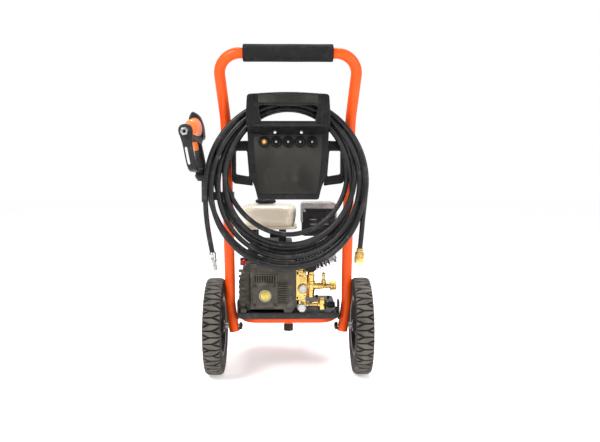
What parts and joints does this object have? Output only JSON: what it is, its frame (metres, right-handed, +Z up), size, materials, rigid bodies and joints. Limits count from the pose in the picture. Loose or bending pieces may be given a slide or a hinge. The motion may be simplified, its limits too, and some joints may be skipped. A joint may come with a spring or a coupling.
{
  "type": "pressure washer",
  "caption": "Petrol pressure washer: plunger pump and engine on a two-wheel tube trolley, with nozzle panel, coiled hose and spray gun.",
  "frame": {"origin": "centre of the front foot's underside, on the ground", "axes": "+X to the operator's right, +Y forward from the handle to the front foot, +Z up"},
  "size_m": [0.5692, 0.7865, 1.005],
  "materials": {
    "orange_paint": "gloss powder coat",
    "foam": "matt closed-cell foam",
    "black_rubber": "matt",
    "hose_rubber": "semi-matt rubber cover",
    "black_steel": "satin black paint",
    "engine_casting": "satin black over cast alloy",
    "zinc_steel": "zinc plated",
    "wheel_plastic": "satin",
    "tyre": "matt rubber",
    "black_plastic": "fine moulded grain",
    "yellow_plastic": "gloss",
    "orange_plastic": "satin",
    "red_plastic": "gloss",
    "brass": "machined, lightly tarnished",
    "pump_grey": "cast, dark grey coat",
    "alloy": "as cast",
    "cast_iron": "rough cast",
    "tank_cream": "gloss",
    "sight_glass": "clear window over oil"
  },
  "bodies": {
    "trolley": {"handle_frame": "orange_paint", "base_frame": "orange_paint", "handle_grip": "foam", "front_foot": "black_rubber", "hose_coil": "hose_rubber", "hose_tail_left": "hose_rubber", "hose_tail_right": "hose_rubber", "deck_tray": "black_steel", "frame_bracket_left": "black_steel", "frame_bracket_right": "black_steel", "axle_nut_left": "black_steel", "axle_nut_right": "black_steel", "muffler": "black_steel", "engine_block": "engine_casting", "axle_left": "zinc_steel", "axle_right": "zinc_steel", "hose_plug_steel": "zinc_steel", "head_cap": "zinc_steel", "inlet_cap": "zinc_steel", "control_panel": "black_plastic", "gun_holster": "black_plastic", "inlet_hose_connector": "black_plastic", "air_cleaner": "black_plastic", "hose_coupler_brass": "brass", "pump_head": "brass", "unloader_valve": "brass", "thermal_valve": "brass", "outlet_coupler": "brass", "inlet_fitting": "brass", "pump_crankcase": "pump_grey", "pump_rear_cover": "pump_grey", "pump_adapter": "alloy", "cylinder_head": "alloy", "recoil_housing": "alloy", "muffler_guard": "alloy", "fuel_tank": "tank_cream", "oil_sight_glass": "sight_glass"},
    "wheel_left": {"rim_left": "wheel_plastic", "tyre_left": "tyre"},
    "wheel_right": {"rim_right": "wheel_plastic", "tyre_right": "tyre"},
    "drive_line": {"pump_crankshaft": "zinc_steel", "flywheel": "cast_iron"},
    "plunger_1": {"plunger_1": "zinc_steel"},
    "plunger_2": {"plunger_2": "zinc_steel"},
    "plunger_3": {"plunger_3": "zinc_steel"},
    "unloader_knob": {"unloader_knob": "black_plastic"},
    "nozzle_1": {"nozzle_1": "yellow_plastic"},
    "nozzle_2": {"nozzle_2": "black_plastic"},
    "nozzle_3": {"nozzle_3": "black_plastic"},
    "nozzle_4": {"nozzle_4": "black_plastic"},
    "nozzle_5": {"nozzle_5": "black_plastic"},
    "gun": {"gun_body": "black_plastic", "gun_shell": "orange_plastic", "gun_outlet": "zinc_steel"},
    "gun_trigger": {"gun_trigger": "orange_plastic"},
    "fuel_cap": {"fuel_cap": "black_plastic"},
    "starter_grip": {"starter_grip": "black_plastic"},
    "engine_switch": {"engine_switch": "red_plastic"},
    "throttle_lever": {"throttle_lever": "zinc_steel"}
  },
  "joints": [
    {"name": "wheel_left_spin", "type": "hinge", "parent": "trolley", "child": "wheel_left", "pos_m": [-0.231, -0.56, 0.1525], "axis": [1, 0, 0], "continuous": true},
    {"name": "wheel_right_spin", "type": "hinge", "parent": "trolley", "child": "wheel_right", "pos_m": [0.231, -0.56, 0.1525], "axis": [1, 0, 0], "continuous": true},
    {"name": "drive_spin", "type": "hinge", "parent": "trolley", "child": "drive_line", "pos_m": [-0.072, -0.44, 0.296], "axis": [0, 1, 0], "continuous": true},
    {"name": "plunger_1_slide", "type": "slide", "parent": "trolley", "child": "plunger_1", "axis": [1, 0, 0], "range_m": [-0.005, 0.005]},
    {"name": "plunger_2_slide", "type": "slide", "parent": "trolley", "child": "plunger_2", "axis": [1, 0, 0], "range_m": [-0.005, 0.005]},
    {"name": "plunger_3_slide", "type": "slide", "parent": "trolley", "child": "plunger_3", "axis": [1, 0, 0], "range_m": [-0.005, 0.005]},
    {"name": "unloader_turn", "type": "hinge", "parent": "trolley", "child": "unloader_knob", "pos_m": [0.071, -0.575, 0.34], "axis": [0, 0, 1], "range_deg": [0, 330]},
    {"name": "nozzle_1_pull", "type": "slide", "parent": "trolley", "child": "nozzle_1", "axis": [0, -1, 0], "range_m": [0, 0.032]},
    {"name": "nozzle_2_pull", "type": "slide", "parent": "trolley", "child": "nozzle_2", "axis": [0, -1, 0], "range_m": [0, 0.032]},
    {"name": "nozzle_3_pull", "type": "slide", "parent": "trolley", "child": "nozzle_3", "axis": [0, -1, 0], "range_m": [0, 0.032]},
    {"name": "nozzle_4_pull", "type": "slide", "parent": "trolley", "child": "nozzle_4", "axis": [0, -1, 0], "range_m": [0, 0.032]},
    {"name": "nozzle_5_pull", "type": "slide", "parent": "trolley", "child": "nozzle_5", "axis": [0, -1, 0], "range_m": [0, 0.032]},
    {"name": "gun_lift", "type": "slide", "parent": "trolley", "child": "gun", "axis": [0, 0, 1], "range_m": [0, 0.07]},
    {"name": "trigger_squeeze", "type": "hinge", "parent": "gun", "child": "gun_trigger", "pos_m": [-0.283, -0.645, 0.758], "axis": [1, 0, 0], "range_deg": [0, 16], "stiffness_Nm_per_rad": 0.6, "springref_deg": -5.73},
    {"name": "fuel_cap_lift", "type": "slide", "parent": "trolley", "child": "fuel_cap", "axis": [0, 0, 1], "range_m": [0, 0.04]},
    {"name": "starter_pull", "type": "slide", "parent": "trolley", "child": "starter_grip", "axis": [0, 0, 1], "range_m": [0, 0.05], "stiffness_N_per_m": 40, "springref_m": -0.002},
    {"name": "engine_switch_turn", "type": "hinge", "parent": "trolley", "child": "engine_switch", "pos_m": [-0.149, -0.445, 0.3415], "axis": [0, 1, 0], "range_deg": [0, 60]},
    {"name": "throttle_turn", "type": "hinge", "parent": "trolley", "child": "throttle_lever", "pos_m": [-0.06, -0.405, 0.402], "axis": [0, 0, 1], "range_deg": [-25, 25]}
  ]
}
